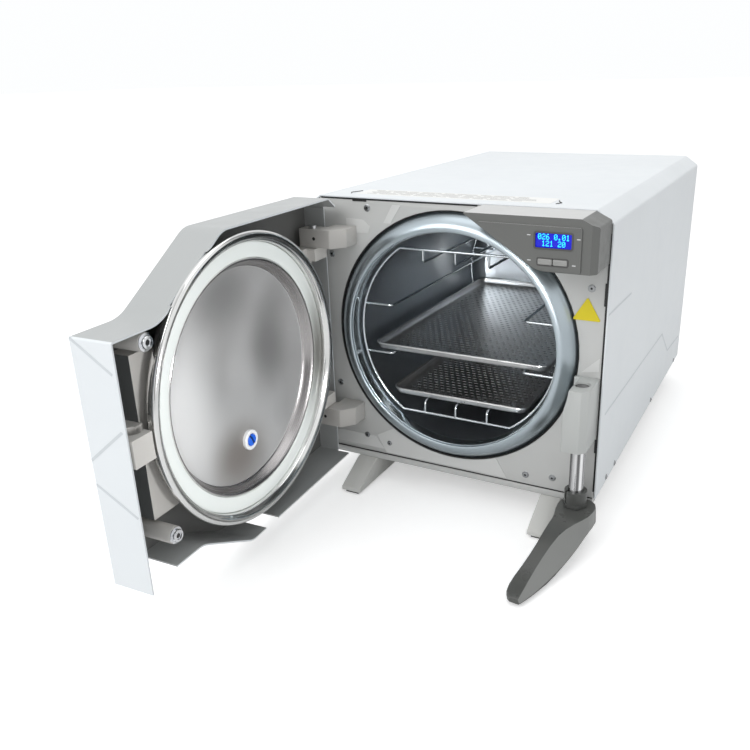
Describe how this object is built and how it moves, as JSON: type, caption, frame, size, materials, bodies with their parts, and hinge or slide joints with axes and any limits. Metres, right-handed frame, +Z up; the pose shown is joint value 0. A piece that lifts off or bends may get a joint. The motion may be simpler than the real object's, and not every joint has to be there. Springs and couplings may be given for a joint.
{
  "type": "benchtop autoclave",
  "caption": "Benchtop steam autoclave: folded box casing, round chamber, side-hinged dished door, lever-driven bolt lock, wire rack with sliding trays and a corner control fascia.",
  "frame": {"origin": "on the bench plane, under the middle of the bounding box with the door at its open rest position", "axes": "+X to the right seen from the front, +Y from the chamber mouth into the machine, +Z up"},
  "size_m": [0.3685, 0.9083, 0.359],
  "materials": {
    "white_paint": "smooth white powder coat",
    "panel_grey": "warm light grey satin paint",
    "cast_grey": "painted casting, light grey",
    "dark_grey": "dark grey satin coat on a faceted casting",
    "fascia_grey": "moulded mid grey, fine grain",
    "steel": "stainless, pressed and polished",
    "satin_flange": "satin turned steel",
    "chrome": "bright plated",
    "silicone": "translucent white silicone",
    "black_rubber": "matt black",
    "black_plastic": "matt black moulding",
    "display_blue": "blue backlit LCD behind a clear window",
    "warning_yellow": "yellow",
    "plug_blue": "blue moulded",
    "white_plastic": "white moulded",
    "board_green": "green solder mask",
    "insulation": "glass-fibre blanket",
    "brass": "machined",
    "tank_plastic": "natural translucent plastic"
  },
  "bodies": {
    "cabinet": {"air_filter": "white_plastic", "base_pan": "panel_grey", "casing_cover": "white_paint", "chamber_flange": "satin_flange", "chamber_vessel": "steel", "clean_water_tank": "tank_plastic", "condenser": "steel", "control_board": "board_green", "control_fascia": "fascia_grey", "display_window": "display_blue", "door_switch": "black_plastic", "drain_tap_body": "brass", "fan_frame": "black_plastic", "flange_gap_seal": "black_rubber", "front_left_foot": "cast_grey", "front_panel": "panel_grey", "front_right_foot": "cast_grey", "heater_band": "brass", "insulation_jacket": "insulation", "left_pad": "black_rubber", "lock_block": "cast_grey", "lower_hinge_bracket": "cast_grey", "lower_hinge_pin": "steel", "power_inlet": "black_plastic", "pump_motor": "steel", "rear_left_foot": "black_rubber", "rear_panel": "white_paint", "rear_right_foot": "black_rubber", "right_pad": "black_rubber", "safety_valve": "brass", "steam_generator": "steel", "steam_pipe": "brass", "switch_frame": "black_plastic", "tray_rack": "steel", "upper_hinge_bracket": "cast_grey", "upper_hinge_pin": "steel", "vacuum_pump": "black_plastic", "valve_block": "brass", "warning_plate": "warning_yellow", "waste_water_tank": "tank_plastic"},
    "door": {"door_cover": "white_paint", "door_arm": "cast_grey", "upper_cover_post": "cast_grey", "lower_cover_post": "cast_grey", "disc_spacer": "steel", "door_disc": "steel", "door_gasket": "silicone", "probe_bushing": "white_plastic", "probe_plug": "plug_blue"},
    "lock_bolt": {"lock_rod": "chrome"},
    "lever": {"lock_lever": "dark_grey", "lock_collar": "dark_grey"},
    "select_key": {"select_button": "fascia_grey"},
    "confirm_key": {"confirm_button": "fascia_grey"},
    "fan": {"fan_rotor": "black_plastic"},
    "rocker": {"mains_switch": "black_plastic"},
    "tap_handle": {"drain_tap_handle": "warning_yellow"},
    "top_tray": {"upper_tray": "steel"},
    "bottom_tray": {"lower_tray": "steel"}
  },
  "joints": [
    {"name": "door_hinge", "type": "hinge", "parent": "cabinet", "child": "door", "pos_m": [-0.1578, -0.1143, 0.2057], "axis": [0, 0, 1], "range_deg": [-12.5, 87.5]},
    {"name": "lock_lift", "type": "slide", "parent": "cabinet", "child": "lock_bolt", "axis": [0, 0, 1], "range_m": [0, 0.014]},
    {"name": "lever_turn", "type": "hinge", "parent": "lock_bolt", "child": "lever", "pos_m": [0.1607, -0.1088, 0.031], "axis": [0, 0, -1], "range_deg": [0, 84.5]},
    {"name": "select_press", "type": "slide", "parent": "cabinet", "child": "select_key", "axis": [0, 1, 0], "range_m": [0, 0.0012], "stiffness_N_per_m": 200},
    {"name": "confirm_press", "type": "slide", "parent": "cabinet", "child": "confirm_key", "axis": [0, 1, 0], "range_m": [0, 0.0012], "stiffness_N_per_m": 200},
    {"name": "fan_spin", "type": "hinge", "parent": "cabinet", "child": "fan", "pos_m": [0.1022, 0.4202, 0.21], "axis": [0, 1, 0], "continuous": true},
    {"name": "mains_rock", "type": "hinge", "parent": "cabinet", "child": "rocker", "pos_m": [-0.0928, 0.4307, 0.07], "axis": [1, 0, 0], "range_deg": [0, 14]},
    {"name": "drain_turn", "type": "hinge", "parent": "cabinet", "child": "tap_handle", "pos_m": [0.1372, 0.4442, 0.0855], "axis": [0, 0, 1], "range_deg": [0, 90]},
    {"name": "upper_tray_slide", "type": "slide", "parent": "cabinet", "child": "top_tray", "axis": [0, 1, 0], "range_m": [-0.26, 0]},
    {"name": "lower_tray_slide", "type": "slide", "parent": "cabinet", "child": "bottom_tray", "axis": [0, 1, 0], "range_m": [-0.26, 0]}
  ],
  "couplings": [
    {"joint": "lock_lift", "follows": "lever_turn", "m_per_rad": 0.00949}
  ]
}
